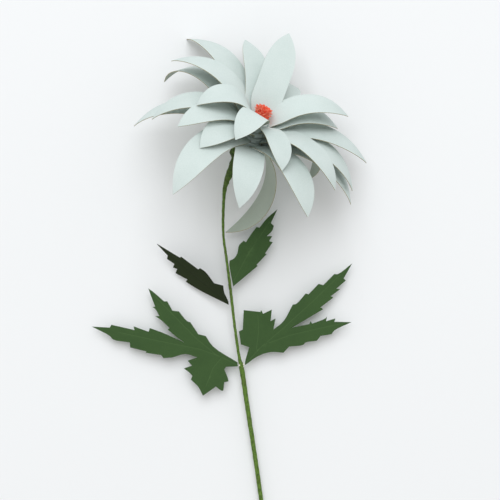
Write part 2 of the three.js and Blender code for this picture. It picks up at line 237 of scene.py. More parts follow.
class PaperGrain:
    """The grain that every sheet of card and paper shares: fine fibres and soft cloudy patches."""

    NAME = "paper grain"
    FIBRE_SIZE = 0.35
    FIBRE_WAVES = 0.55
    COARSE_WAVES = 0.12
    CLOUDS_PER_METRE = 75
    NOISE_MIDDLE = (0.3, 0.7)

    def __init__(self) -> None:
        """Builds the node group once."""
        self.group = bpy.data.node_groups.new(self.NAME, "ShaderNodeTree")
        face = self.group.interface
        size = face.new_socket("Fibre Size", in_out="INPUT", socket_type="NodeSocketFloat")
        size.default_value = self.FIBRE_SIZE
        size.description = "Width of a fibre clump in millimetres"
        face.new_socket("Fibre", in_out="OUTPUT", socket_type="NodeSocketFloat")
        face.new_socket("Cloud", in_out="OUTPUT", socket_type="NodeSocketFloat")
        face.new_socket("Height", in_out="OUTPUT", socket_type="NodeSocketFloat")
        self._wire()

    def _wire(self) -> None:
        """Adds the group's nodes."""
        nodes = NodeTree(self.group)
        given = nodes.add("NodeGroupInput")
        place = nodes.object_place()
        per_metre = nodes.add("ShaderNodeMath", operation="DIVIDE")
        per_metre.inputs[0].default_value = 1 / MM
        nodes.link(given.outputs["Fibre Size"], per_metre.inputs[1])
        scaled = nodes.add("ShaderNodeVectorMath", operation="SCALE")
        nodes.link(place, scaled.inputs[0])
        nodes.link(per_metre.outputs[0], scaled.inputs["Scale"])
        fibre = nodes.noise(scaled.outputs[0], self.FIBRE_WAVES, 3).outputs["Fac"]
        coarse = nodes.noise(scaled.outputs[0], self.COARSE_WAVES, 2).outputs["Fac"]
        cloud = nodes.noise(place, self.CLOUDS_PER_METRE, 2).outputs["Fac"]
        height = nodes.math("ADD", fibre, coarse)
        out = nodes.add("NodeGroupOutput")
        nodes.link(nodes.map_range(fibre, self.NOISE_MIDDLE, (0, 1)), out.inputs["Fibre"])
        nodes.link(nodes.map_range(cloud, self.NOISE_MIDDLE, (0, 1)), out.inputs["Cloud"])
        nodes.link(height, out.inputs["Height"])

    def place(self, nodes: NodeTree, fibre_size: float) -> Node:
        """Puts the group in a material.

        Args:
            nodes: The material's tree.
            fibre_size: Width of a fibre clump in millimetres.

        Returns:
            The group's node.
        """
        node = nodes.add("ShaderNodeGroup", node_tree=self.group)
        node.inputs["Fibre Size"].default_value = fibre_size
        return node


def plain_material(name: str, roughness: float, specular: float) -> tuple[Material, NodeTree]:
    """Starts a material with one Principled shader.

    Args:
        name: The material's name.
        roughness: The shader's roughness.
        specular: The shader's specular level.

    Returns:
        The material and its tree.
    """
    material = bpy.data.materials.new(name)
    material.use_nodes = True
    nodes = NodeTree(material.node_tree)
    nodes.shader.inputs["Roughness"].default_value = roughness
    nodes.shader.inputs["Specular IOR Level"].default_value = specular
    return material, nodes


@dataclass(frozen=True)
class CardFinish:
    """Matte coloured card: its face and back with grain, and its bare cut edge. A back colour, where
    given, is painted shade on the back.
    """

    name: str
    colour: Colour
    fibre_colour: Colour
    cut_colour: Colour
    shaded_back_colour: Colour | None = None
    fibre_size: float = 0.35
    fibre_share: float = 0.5
    cloud_share: float = 0.35
    bump: float = 0.25
    roughness: float = 0.85
    specular: float = 0.25
    score_colour: Colour | None = None

    BACK_FIBRE = 0.86
    BUMP_DEPTH = 0.06
    CUT_ROUGHNESS = 0.9
    CUT_SPECULAR = 0.15
    CUT_FIBRE_SIZE = 0.5
    CUT_FIBRE = 0.6

    def face(self, grain: PaperGrain) -> Material:
        """Makes the material of the card's face."""
        return self._sheet(grain, self.name, self.colour, self.fibre_colour)

    def back(self, grain: PaperGrain) -> Material:
        """Makes the material of the card's back, which carries painted shade where a back colour is given.
        """
        colour = self.shaded_back_colour or self.colour
        return self._sheet(grain, f"{self.name}_back", colour, dimmed(colour, self.BACK_FIBRE))

    def _sheet(self, grain: PaperGrain, name: str, base: Colour, fibres: Colour) -> Material:
        """Makes the material of one side of the card.

        Args:
            grain: The shared grain group.
            name: The material's name.
            base: The side's colour.
            fibres: The colour of its fibres.

        Returns:
            The material.
        """
        material, nodes = plain_material(name, self.roughness, self.specular)
        speck = grain.place(nodes, self.fibre_size)
        fibre = nodes.math("MULTIPLY", speck.outputs["Fibre"], self.fibre_share)
        cloud = nodes.math("MULTIPLY", speck.outputs["Cloud"], self.cloud_share)
        colour = nodes.mix(nodes.math("ADD", fibre, cloud), base, fibres)
        if self.score_colour is not None:
            score = nodes.add("ShaderNodeAttribute", attribute_name="score")
            colour = nodes.mix(score.outputs["Fac"], colour, self.score_colour)
        nodes.colour(colour)
        nodes.bump(speck.outputs["Height"], self.bump, self.BUMP_DEPTH)
        return material

    def cut(self, grain: PaperGrain) -> Material:
        """Makes the material of the card's cut edge.

        Args:
            grain: The shared grain group.

        Returns:
            The material.
        """
        name = f"{self.name}_cut_edge"
        material, nodes = plain_material(name, self.CUT_ROUGHNESS, self.CUT_SPECULAR)
        speck = grain.place(nodes, self.CUT_FIBRE_SIZE)
        darker = dimmed(self.cut_colour, self.CUT_FIBRE)
        nodes.colour(nodes.mix(speck.outputs["Fibre"], self.cut_colour, darker))
        return material

    def all(self, grain: PaperGrain) -> list[Material]:
        """Makes the three materials, in the order of Face."""
        return [self.face(grain), self.cut(grain), self.back(grain)]


@dataclass(frozen=True)
class TapeFinish:
    """Green waxed paper tape: creased, a little shiny, with darker and browner patches, and painted shade
    along its creases, at the foot of each lap and on its neck.
    """

    name: str = "stem_tape"
    colour: Colour = srgb(96, 130, 44)
    # The colour of the painted shade.
    painted_shade_colour: Colour = srgb(38, 56, 12)
    patch_colour: Colour = srgb(74, 76, 30)
    creases_per_metre: float = 900
    patches_per_metre: float = 160
    fibre_size: float = 0.3
    fibre_height: float = 0.3
    crease_shade_share: float = 0.7
    patch_share: float = 0.5
    painted_shade_share: float = 0.8
    roughness: float = 0.6
    specular: float = 0.35
    bump: float = 0.5
    bump_depth: float = 0.15

    CREASE_NOISE = (0.35, 0.7)
    PATCH_NOISE = (0.52, 0.7)

    def material(self, grain: PaperGrain) -> Material:
        """Makes the tape's material.

        Args:
            grain: The shared grain group.

        Returns:
            The material.
        """
        material, nodes = plain_material(self.name, self.roughness, self.specular)
        speck = grain.place(nodes, self.fibre_size)
        place = nodes.object_place()
        crease = nodes.noise(place, self.creases_per_metre, 3).outputs["Fac"]
        patch = nodes.noise(place, self.patches_per_metre, 2).outputs["Fac"]
        painted_shade = nodes.add("ShaderNodeAttribute", attribute_name="painted_shade").outputs["Fac"]
        # Painted shade: darker with the crease noise, then darker again by the mark that the stem's mesh
        # carries.
        shaded_creases = nodes.map_range(crease, self.CREASE_NOISE, (0, self.crease_shade_share))
        colour = nodes.mix(shaded_creases, self.colour, self.painted_shade_colour)
        worn = nodes.map_range(patch, self.PATCH_NOISE, (0, self.patch_share))
        colour = nodes.mix(worn, colour, self.patch_colour)
        colour = nodes.mix(nodes.math("MULTIPLY", painted_shade, self.painted_shade_share), colour, self.painted_shade_colour)
        nodes.colour(colour)
        fibres = nodes.math("MULTIPLY", speck.outputs["Fibre"], self.fibre_height)
        nodes.bump(nodes.math("ADD", crease, fibres), self.bump, self.bump_depth)
        return material


@dataclass(frozen=True)
class MottledFinish:
    """One colour that goes a little darker in patches, for what is neither card nor tape."""

    name: str
    colour: Colour
    roughness: float
    specular: float
    patches_per_metre: float
    detail: float
    darkest: float
    metallic: float = 0.0

    def material(self) -> Material:
        """Makes the material.

        Returns:
            The material.
        """
        material, nodes = plain_material(self.name, self.roughness, self.specular)
        nodes.shader.inputs["Metallic"].default_value = self.metallic
        patches = nodes.noise(nodes.object_place(), self.patches_per_metre, self.detail)
        darker = dimmed(self.colour, self.darkest)
        nodes.colour(nodes.mix(patches.outputs["Fac"], self.colour, darker))
        return material


@dataclass(frozen=True)
class Finishes:
    """Every finish of the flower, with the grain that the paper ones share."""

    grain: PaperGrain = field(default_factory=PaperGrain)
    petal: CardFinish = CardFinish(
        name="petal_card",
        colour=srgb(211, 221, 219),
        fibre_colour=srgb(196, 209, 206),
        cut_colour=srgb(176, 168, 132),
        # Painted shade: the petals' backs take a darker, warmer copy of the face colour.
        shaded_back_colour=srgb(180, 190, 178),
    )
    fringe: CardFinish = CardFinish(
        name="fringe_card",
        colour=srgb(250, 104, 74),
        fibre_colour=srgb(238, 74, 48),
        cut_colour=srgb(250, 150, 122),
        fibre_size=0.2,
    )
    leaf: CardFinish = CardFinish(
        name="leaf_card",
        colour=srgb(63, 90, 49),
        fibre_colour=srgb(52, 77, 42),
        cut_colour=srgb(30, 36, 20),
        fibre_size=0.3,
        score_colour=srgb(73, 100, 58),
    )
    # Painted shade: a darker copy of the leaf card, for the leaf tilted away from the light.
    shaded_leaf: CardFinish = CardFinish(
        name="leaf_card_painted_shade",
        colour=srgb(40, 51, 24),
        fibre_colour=srgb(30, 40, 17),
        cut_colour=srgb(24, 28, 16),
        fibre_size=0.3,
        score_colour=srgb(30, 38, 18),
    )
    tape: TapeFinish = TapeFinish()
    glue: MottledFinish = MottledFinish(
        name="dried_glue",
        colour=srgb(236, 232, 214),
        roughness=0.28,
        specular=0.5,
        patches_per_metre=900,
        detail=2,
        darkest=0.8,
    )
    wire: MottledFinish = MottledFinish(
        name="florist_wire",
        colour=srgb(150, 152, 150),
        roughness=0.38,
        specular=0.5,
        patches_per_metre=2500,
        detail=3,
        darkest=0.7,
        metallic=1.0,
    )


# Meshes


@dataclass
class Shell:
    """A mesh in the making: points in millimetres, faces, and which side of the card each face is."""

    points: list[np.ndarray] = field(default_factory=list)
    faces: list[tuple[int, ...]] = field(default_factory=list)
    sides: list[Face] = field(default_factory=list)
    marks: list[float] = field(default_factory=list)

    SHARP_ANGLE = 40

    def add_points(self, points: np.ndarray, marks: np.ndarray | None = None) -> int:
        """Adds points.

        Args:
            points: The points, one a row.
            marks: A value from 0 to 1 for each point, which a material can read.

        Returns:
            The number of the first one.
        """
        first = len(self.points)
        self.points.extend(points)
        self.marks.extend(marks if marks is not None else [0.0] * len(points))
        return first

    def add_face(self, corners: tuple[int, ...], side: Face = Face.SHOW) -> None:
        """Adds a face by its corners' numbers."""
        self.faces.append(corners)
        self.sides.append(side)

    def add_band(self, here: int, there: int, sides: int) -> None:
        """Adds the faces between two rings of points.

        Args:
            here: The number of the first ring's first point.
            there: The number of the second ring's first point.
            sides: How many points each ring has.
        """
        for k in range(sides):
            after = (k + 1) % sides
            self.add_face((here + k, here + after, there + after, there + k))

    def add_card(self, middle: np.ndarray, normals: np.ndarray, thickness: float) -> None:
        """Adds a bent strip of card as a closed sheet.

        Args:
            middle: The points of the sheet's middle, by row and column.
            normals: The sheet's normals at those points.
            thickness: The card's thickness in millimetres.
        """
        rows, columns = middle.shape[:2]
        upper = self.add_points((middle + normals * thickness / 2).reshape(-1, 3))
        lower = self.add_points((middle - normals * thickness / 2).reshape(-1, 3))

        def at(first: int, row: int, column: int) -> int:
            """The number of a point of one face of the sheet."""
            return first + row * columns + column

        for row in range(rows - 1):
            for column in range(columns - 1):
                corners = ((row, column), (row + 1, column), (row + 1, column + 1), (row, column + 1))
                self.add_face(tuple(at(upper, *corner) for corner in corners))
                self.add_face(tuple(at(lower, *corner) for corner in reversed(corners)), Face.BACK)
        rim = [(row, 0) for row in range(rows)]
        rim += [(rows - 1, column) for column in range(1, columns)]
        rim += [(row, columns - 1) for row in range(rows - 2, -1, -1)]
        rim += [(0, column) for column in range(columns - 2, 0, -1)]
        for here, there in zip(rim, rim[1:] + rim[:1]):
            corners = (at(upper, *there), at(upper, *here), at(lower, *here), at(lower, *there))
            self.add_face(corners, Face.CUT)

    def make(self, name: str, materials: list[Material], mark: str = "") -> Piece:
        """Makes the object, smooth on its faces and sharp at its cut edges.

        Args:
            name: The object's name.
            materials: Its materials, in the order of Face.
            mark: The name of the attribute that holds the points' values, if a material reads it.

        Returns:
            The object, in metres.
        """
        mesh = bpy.data.meshes.new(name)
        mesh.from_pydata([tuple(point * MM) for point in self.points], [], self.faces)
        for material in materials:
            mesh.materials.append(material)
        last = len(materials) - 1
        places = [side.value if side.value <= last else Face.SHOW.value for side in self.sides]
        mesh.polygons.foreach_set("material_index", places)
        mesh.polygons.foreach_set("use_smooth", [True] * len(self.faces))
        if mark:
            layer = mesh.attributes.new(mark, "FLOAT", "POINT")
            layer.data.foreach_set("value", self.marks)
        mesh.update()
        mesh.validate()
        result = bpy.data.objects.new(name, mesh)
        bpy.context.scene.collection.objects.link(result)
        mesh.set_sharp_from_angle(angle=math.radians(self.SHARP_ANGLE))
        return result


def settle(piece: Piece, slot: str, *nodes: str) -> Piece:
    """Gives a piece its body and hides the solids of the frame that it stands for.

    Args:
        piece: The piece.
        slot: Not used.
        nodes: The frame's nodes that it stands for.

    Returns:
        The same piece.
    """
    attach(piece, "root")
    if nodes:
        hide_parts(*nodes)
    count = sum(len(face.vertices) - 2 for face in piece.data.polygons)
    LOG.info("%s: %d triangles", piece.name, count)
    return piece


# Places


@dataclass(frozen=True)
class PhotoPlane:
    """The plane of the photograph, seen from straight above the surface."""

    mm_per_pixel: float = 0.6
    pixel_centre: float = 250.0
    view_height: float = 900.0
    heart_height: float = 44.42
    origin_shift: tuple[float, float, float] = (13.48, 47.13, 0.0)

    def point(self, pixel: Pixel, height: float) -> np.ndarray:
        """Finds the place over a pixel.

        Args:
            pixel: The pixel, from the photograph's top left corner.
            height: The height over the surface in millimetres.

        Returns:
            The place in the part's frame.
        """
        distance = self.view_height - (height - self.heart_height)
        per_pixel = self.mm_per_pixel * distance / self.view_height
        across = (pixel[0] - self.pixel_centre) * per_pixel
        up = (self.pixel_centre - pixel[1]) * per_pixel
        return np.array([across, up, height]) + self.origin_shift


@dataclass(frozen=True)
class BloomFrame:
    """The bloom's own axis and the two directions across it."""

    plane: PhotoPlane
    heart_pixel: Pixel = (258.5, 121.5)
    from_view: float = 58.0
    right_of_up: float = 27.0

    @cached_property
    def heart(self) -> np.ndarray:
        """The middle of the top ring."""
        return self.plane.point(self.heart_pixel, self.plane.heart_height)

    @cached_property
    def axis(self) -> np.ndarray:
        """The direction that the bloom faces."""
        lean, turn = math.radians(self.from_view), math.radians(self.right_of_up)
        return np.array([math.sin(lean) * math.sin(turn), math.sin(lean) * math.cos(turn), math.cos(lean)])

    @cached_property
    def across(self) -> np.ndarray:
        """The direction that angles round the axis are counted from."""
        turn = math.radians(self.right_of_up)
        return np.array([math.cos(turn), -math.sin(turn), 0.0])

    @cached_property
    def behind(self) -> np.ndarray:
        """The direction a quarter turn on from across."""
        return np.cross(self.axis, self.across)

    def outward(self, angle: float) -> np.ndarray:
        """The direction away from the axis at an angle in degrees."""
        return math.cos(math.radians(angle)) * self.across + math.sin(math.radians(angle)) * self.behind

    def place(self, along: float, radius: float, angle: float) -> np.ndarray:
        """Finds a place in the bloom.

        Args:
            along: The distance along the axis from the heart.
            radius: The distance out from the axis.
            angle: The angle round the axis in degrees.

        Returns:
            The place in the part's frame.
        """
        return self.heart + along * self.axis + radius * self.outward(angle)


# The bloom


@dataclass(frozen=True)
class PetalCut:
    """The outline that every petal is cut to, and the card's thickness."""

    width: float = 19.3
    root_share: float = 0.5
    widest_from: float = 0.22
    widest_to: float = 0.5
    point_power: float = 2.5
    tip: float = 0.5
    thickness: float = 0.36

    def width_at(self, share: float, wide: float) -> float:
        """Finds a petal's width along it: narrow, full to the middle, then a point.

        Args:
            share: The share of its length, from the root.
            wide: Its full width.

        Returns:
            The width at that share.
        """
        opening = math.sin(math.pi / 2 * min(share / self.widest_from, 1))
        rise = self.root_share + (1 - self.root_share) * opening
        past = max(0.0, (share - self.widest_to) / (1 - self.widest_to))
        return max(self.tip, wide * rise * (1 - past**self.point_power))


@dataclass(frozen=True)
class Petal:
    """One curled petal: where it starts on its ring and how it is bent. Angles are in degrees."""

    angle: float
    rise: float
    curl: float
    length: float
    wide: float | None = None
    roll: float = 0.0
    power: float = 1.0
    skew: float = 0.0
    lift: float = 0.0

    ROOT = 0.9
    ROWS = 44
    COLUMNS = 9

    def sheet(self, cut: PetalCut, bloom: BloomFrame, drop: float, radius: float) -> tuple:
        """Bends the petal.

        Args:
            cut: The outline that it is cut to.
            bloom: The bloom's frame.
            drop: How far its ring lies behind the heart.
            radius: Where on the ring it starts.

        Returns:
            The points of its middle and their normals, by row and column.
        """
        rise, roll = math.radians(self.rise), math.radians(self.roll)
        out, side = bloom.outward(self.angle), bloom.outward(self.angle + 90)
        along = math.cos(rise) * out + math.sin(rise) * bloom.axis
        face = math.cos(rise) * bloom.axis - math.sin(rise) * out
        rolled = math.cos(roll) * side + math.sin(roll) * face
        side, face = rolled, math.cos(roll) * face - math.sin(roll) * side
        middle = bloom.place(self.lift - drop, radius, self.angle) - self.ROOT * along
        wide = self.wide or cut.width
        step = (self.length + self.ROOT) / (self.ROWS - 1)
        spread = np.linspace(-1, 1, self.COLUMNS)
        points = np.zeros((self.ROWS, self.COLUMNS, 3))
        normals = np.zeros_like(points)
        before = 0.0
        for row in range(self.ROWS):
            share = max(0.0, (row * step - self.ROOT) / self.length)
            turn = math.radians(self.curl) * share**self.power
            if row:
                bend = (turn + before) / 2
                middle = middle + step * (math.cos(bend) * along - math.sin(bend) * face)
            before = turn
            centre = self.skew * wide * share * share
            half = cut.width_at(share, wide) / 2
            points[row] = middle + np.outer(centre + half * spread, side)
            normals[row] = math.cos(turn) * face + math.sin(turn) * along
        return points, normals


@dataclass
class PetalRing:
    """A ring of petals on one hub of glued card, threaded on the wire."""

    name: str
    node: str
    drop: float
    radius: float
    petals: tuple[Petal, ...]
    cut: PetalCut = PetalCut()

    HUB_HOLE = 0.65
    HUB_REACH = 1.55
    HUB_WIDER = 0.3
    HUB_ROUND = 0.35
    HUB_SIDES = 40

    def build(self, bloom: BloomFrame, materials: list[Material]) -> Piece:
        """Builds the ring.

        Args:
            bloom: The bloom's frame.
            materials: The card's materials, in the order of Face.

        Returns:
            The ring's piece.
        """
        shell = Shell()
        for petal in self.petals:
            points, normals = petal.sheet(self.cut, bloom, self.drop, self.radius)
            shell.add_card(points, normals, self.cut.thickness)
        self._add_hub(shell, bloom)
        return settle(shell.make(self.name, materials), "petal_card", self.node)

    def _add_hub(self, shell: Shell, bloom: BloomFrame) -> None:
        """Adds the smooth pile of glued roots that the petals grow from.

        Args:
            shell: The mesh in the making.
            bloom: The bloom's frame.
        """
        wide = self.radius + self.HUB_WIDER
        lowest = min(petal.lift for petal in self.petals)
        low = (lowest if lowest < -self.HUB_REACH else 0.0) - self.HUB_REACH
        profile = [
            (self.HUB_HOLE, low),
            (wide - self.HUB_ROUND, low),
            (wide, low + self.HUB_ROUND),
            (wide, self.HUB_REACH - self.HUB_ROUND),
            (wide - self.HUB_ROUND, self.HUB_REACH),
            (self.HUB_HOLE, self.HUB_REACH),
        ]
        angles = np.linspace(0, 360, self.HUB_SIDES, endpoint=False)
        rings = []
        for radius, along in profile:
            ring = np.array([bloom.place(along - self.drop, radius, angle) for angle in angles])
            rings.append(shell.add_points(ring))
        for here, there in zip(rings, rings[1:] + rings[:1]):
            shell.add_band(here, there, self.HUB_SIDES)


@dataclass
class FringedCentre:
    """A strip of red card, fringed along one edge and rolled up tight."""

    name: str = "rolled_fringe"
    bottom: float = 1.95
    top: float = 7.2
    inner_radius: float = 0.9
    outer_radius: float = 4.55
    turn_pitch: float = 0.92
    strip_share: float = 0.8
    strand_width: float = 1.0
    strand_gap: float = 0.12
    strand_length: float = 3.4
    strand_root: float = 0.9
    shorter_outside: float = 1.1
    lean_inside: float = 14.0
    lean_gained: float = 56.0
    lean_power: float = 1.2
    lean_spread: float = 18.0
    sway_spread: float = 55.0
    length_spread: float = 0.35
    tip_from: float = 0.8
    tip_share: float = 0.85
    thickness: float = 0.3
    seed: int = 7

    STRAND_ROWS = 8
    STEPS_A_TURN = 28

    def build(self, bloom: BloomFrame, materials: list[Material]) -> Piece:
        """Builds the roll and its strands.

        Args:
            bloom: The bloom's frame.
            materials: The card's materials, in the order of Face.

        Returns:
            The centre's piece.
        """
        shell = Shell()
        self._add_roll(shell, bloom)
        draw = random.Random(self.seed)
        angle, radius = 0.0, self.inner_radius
        while radius < self.outer_radius:
            self._add_strand(shell, bloom, angle, radius, draw)
            step = math.degrees((self.strand_width + self.strand_gap) / radius)
            angle += step
            radius += self.turn_pitch * step / 360
        return settle(shell.make(self.name, materials), "fringe_card", "fringed_centre")

    def _add_roll(self, shell: Shell, bloom: BloomFrame) -> None:
        """Adds the rolled strip below the strands.

        Args:
            shell: The mesh in the making.
            bloom: The bloom's frame.
        """
        turns = (self.outer_radius - self.inner_radius) / self.turn_pitch
        steps = int(turns * self.STEPS_A_TURN)
        middle = np.zeros((steps + 1, 2, 3))
        normals = np.zeros_like(middle)
        for k in range(steps + 1):
            angle = 360 * turns * k / steps
            radius = self.inner_radius + self.turn_pitch * angle / 360
            for column, along in enumerate((self.bottom, self.top)):
                middle[k, column] = bloom.place(along, radius, angle)
                normals[k, column] = bloom.outward(angle)
        shell.add_card(middle, normals, self.turn_pitch * self.strip_share)

    def _add_strand(
        self, shell: Shell, bloom: BloomFrame, angle: float, radius: float, draw: random.Random
    ) -> None:
        """Adds one strand, which leans out more the further out it stands.

        Args:
            shell: The mesh in the making.
            bloom: The bloom's frame.
            angle: Where it stands round the axis, in degrees.
            radius: How far it stands from the axis.
            draw: The source of its small differences.
        """
        share = (radius - self.inner_radius) / (self.outer_radius - self.inner_radius)
        lean_drawn = draw.uniform(-self.lean_spread, self.lean_spread)
        lean = math.radians(self.lean_inside + self.lean_gained * share + lean_drawn)
        sway = math.radians(draw.uniform(-self.sway_spread, self.sway_spread))
        length_drawn = draw.uniform(-self.length_spread, self.length_spread)
        length = self.strand_length - self.shorter_outside * share + length_drawn
        out, side = bloom.outward(angle), bloom.outward(angle + 90)
        middle = bloom.place(self.top - self.strand_root, radius, angle)
        step = (length + self.strand_root) / (self.STRAND_ROWS - 1)
        points = np.zeros((self.STRAND_ROWS, 3, 3))
        normals = np.zeros_like(points)
        for row in range(self.STRAND_ROWS):
            part = row / (self.STRAND_ROWS - 1)
            tilt, twist = lean * part**self.lean_power, sway * part
            along = math.cos(tilt) * bloom.axis + math.sin(tilt) * out
            along = math.cos(twist) * along + math.sin(twist) * side
            width = np.cross(np.cross(along, side), along)
            width /= np.linalg.norm(width)
            if row:
                middle = middle + step * along
            half = self.strand_width / 2 * (1 if part < self.tip_from else self.tip_share)
            points[row] = middle + np.outer(np.array([-half, 0, half]), width)
            normals[row] = np.cross(width, along)
        shell.add_card(points, normals, self.thickness)


# The stem


@dataclass(frozen=True)
class StemPlace:
    """A place along the stem: the pixel over it, its height, and how wide the tape is there."""

    pixel: Pixel
    height: float
    wide: float


@dataclass
class TapedStem:
    """Waxed paper tape wound round the wire, from under the bloom to the cut end."""

    name: str
    places: tuple[StemPlace, ...]
    top_along: float = -21.4
    top_wide: float = 2.8
    bore: float = 0.42
    sides: int = 28
    steps: int = 520
    lap_pitch: float = 5.2
    lap_step: float = 0.14
    crumple: float = 0.1
    neck_crumple: float = 0.32
    neck_length: float = 46.0
    # Painted shade on the neck under the bloom, deepest in the hollows of its creases.
    neck_shade: float = 1.15
    crease_shade_gain: float = 3.0

    STEP_POWER = 1.25
    LAP_FOOT = 0.86
    CREASE_WAVES = (0.55, 0.3, 0.55)
    FINE_WAVES = (1.9, 0.9, 1.9)
    FINE_SHARE = 0.35
    THINNEST = 0.2

    def line(self, plane: PhotoPlane, bloom: BloomFrame) -> tuple[np.ndarray, np.ndarray]:
        """Runs a smooth line through the stem's places.

        Args:
            plane: The plane of the photograph.
            bloom: The bloom's frame.

        Returns:
            Points along the line, and the tape's width at each.
        """
        given = [bloom.place(self.top_along, 0, 0)]
        given += [plane.point(place.pixel, place.height) for place in self.places]
        widths = [self.top_wide] + [place.wide for place in self.places]
        count = len(given) - 1
        points, wide = [], []
        for k in range(self.steps + 1):
            where = count * (k / self.steps) ** self.STEP_POWER
            low = min(int(where), count - 1)
            blend = 0.5 - 0.5 * math.cos(math.pi * (where - low))
            points.append(centripetal(given, low, where - low))
            wide.append(widths[low] * (1 - blend) + widths[low + 1] * blend)
        return np.array(points), np.array(wide)

    def build(self, plane: PhotoPlane, bloom: BloomFrame, material: Material) -> Piece:
        """Builds the tape.

        Args:
            plane: The plane of the photograph.
            bloom: The bloom's frame.
            material: The tape's material.

        Returns:
            The tape's piece.
        """
        points, wide = self.line(plane, bloom)
        tangents = np.gradient(points, axis=0)
        tangents /= np.linalg.norm(tangents, axis=1)[:, None]
        travelled = np.concatenate([[0], np.cumsum(np.linalg.norm(np.diff(points, axis=0), axis=1))])
        sideways = np.array([1.0, 0.0, 0.0])
        outer, inner, marks = [], [], []
        for point, tangent, width, run in zip(points, tangents, wide, travelled):
            sideways = sideways - sideways @ tangent * tangent
            sideways /= np.linalg.norm(sideways)
            upwards = np.cross(tangent, sideways)
            for k in range(self.sides):
                angle = 2 * math.pi * k / self.sides
                out = math.cos(angle) * sideways + math.sin(angle) * upwards
                radius, mark = self._radius(width / 2, run, angle, point + out)
                outer.append(point + radius * out)
                inner.append(point + self.bore * out)
                marks.append(mark)
        shell = Shell()
        first = shell.add_points(np.array(outer), np.array(marks))
        bore = shell.add_points(np.array(inner))
        self._close(shell, first, bore, len(points))
        return settle(shell.make(self.name, [material], mark="painted_shade"), "stem_tape", "stem_tape")

    def _radius(self, radius: float, run: float, angle: float, place: np.ndarray) -> Range:
        """The tape's radius at a place, with its laps and creases.

        Args:
            radius: The plain radius.
            run: How far along the stem it is.
            angle: Where round the stem it is, in radians.
            place: A point there, for the creases.

        Returns:
            The radius, and how much painted shade the tape has there, from 0 to 1. The painted shade lies
            at the foot of a lap and in the creases of the neck.
        """
        phase = (run / self.lap_pitch + angle / (2 * math.pi)) % 1
        lap = self.lap_step * (0.5 - phase)
        neck = max(0.0, 1 - run / self.neck_length)
        size = self.crumple + (self.neck_crumple - self.crumple) * neck
        crease = size * noise.noise(Vector(place * self.CREASE_WAVES))
        fine = self.FINE_SHARE * size * noise.noise(Vector(place * self.FINE_WAVES))
        # Painted shade at the foot of each lap and on the neck, deeper in the crease hollows.
        foot = max(0.0, (phase - self.LAP_FOOT) / (1 - self.LAP_FOOT))
        painted_shade = min(1.0, neck * (self.neck_shade - self.crease_shade_gain * crease))
        return max(self.bore + self.THINNEST, radius + lap + crease + fine), max(foot, painted_shade)

    def _close(self, shell: Shell, outer: int, bore: int, rows: int) -> None:
        """Adds the faces of the sleeve: outside, bore and both ends.

        Args:
            shell: The mesh in the making.
            outer: The number of the outside's first point.
            bore: The number of the bore's first point.
            rows: How many rings of points each of the two has.
        """
        for row in range(rows - 1):
            here, there = row * self.sides, (row + 1) * self.sides
            shell.add_band(outer + here, outer + there, self.sides)
            shell.add_band(bore + there, bore + here, self.sides)
        last = (rows - 1) * self.sides
        shell.add_band(bore, outer, self.sides)
        shell.add_band(outer + last, bore + last, self.sides)


def centripetal(given: list[np.ndarray], low: int, share: float) -> np.ndarray:
    """A place on the smooth curve through points, spaced by the square roots of their distances.

    Args:
        given: The points.
        low: The number of the point before the place.
        share: How far on to the next point it is.

    Returns:
        The place.
    """
    start, end = given[low], given[low + 1]
    before = given[low - 1] if low else 2 * start - end
    after = given[low + 2] if low + 2 < len(given) else 2 * end - start
    first, span, last = (
        math.sqrt(np.linalg.norm(b - a)) for a, b in ((before, start), (start, end), (end, after))
    )
    leave = (start - before) / first - (end - before) / (first + span) + (end - start) / span
    arrive = (end - start) / span - (after - start) / (span + last) + (after - end) / last
    leave, arrive = leave * span, arrive * span
    square, cube = share * share, share**3
    return (
        start
        + leave * share
        + (3 * (end - start) - 2 * leave - arrive) * square
        + (2 * (start - end) + leave + arrive) * cube
    )


# The leaves


